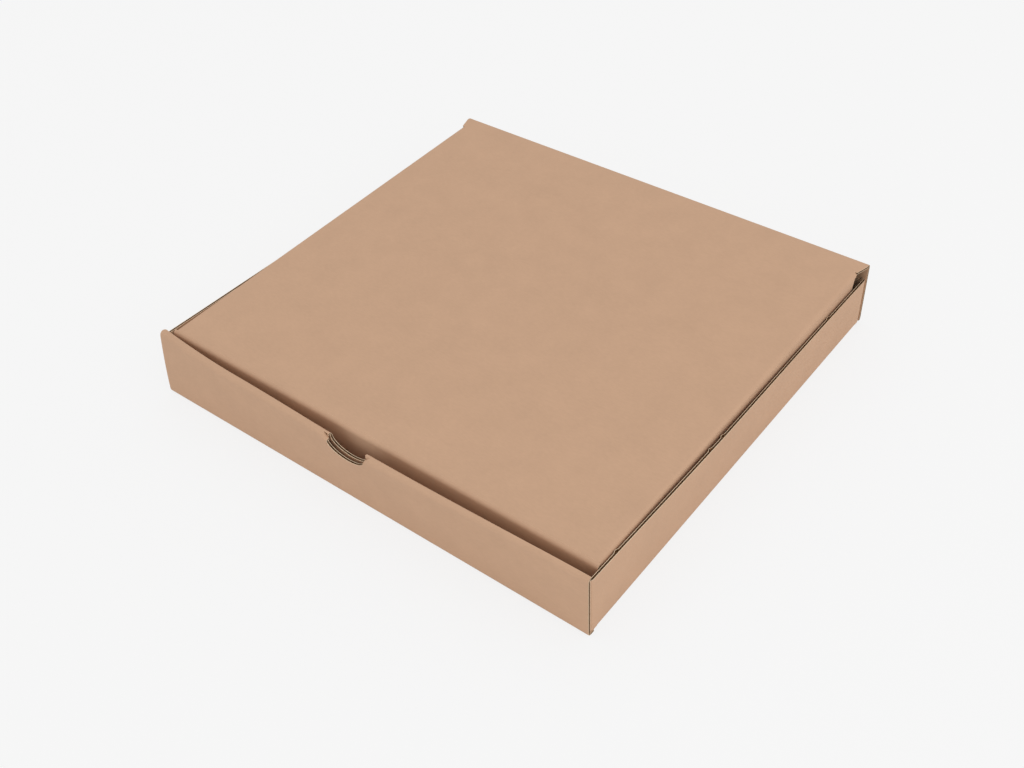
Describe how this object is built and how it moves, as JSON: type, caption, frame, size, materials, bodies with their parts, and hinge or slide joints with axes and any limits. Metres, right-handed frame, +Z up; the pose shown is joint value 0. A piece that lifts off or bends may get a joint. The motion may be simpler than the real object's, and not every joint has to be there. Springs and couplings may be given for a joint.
{
  "type": "pizza box",
  "caption": "Low square pizza box folded from kraft corrugated board, with a rolled front wall, a thumb notch and a hinged tuck lid.",
  "frame": {"origin": "centre of the closed box's footprint, on the surface that it stands on", "axes": "+X along the rolled front wall, to the right as seen from the front; +Y from the front wall to the hinge; +Z up"},
  "size_m": [0.32, 0.305, 0.046],
  "materials": {
    "kraft_board": "matte unbleached kraft liner"
  },
  "bodies": {
    "tray": {"tray": "kraft_board"},
    "lid": {"lid": "kraft_board"}
  },
  "joints": [
    {"name": "lid_hinge", "type": "hinge", "parent": "tray", "child": "lid", "pos_m": [0, 0.1517, 0.0452], "axis": [-1, 0, 0], "range_deg": [0, 178]}
  ]
}
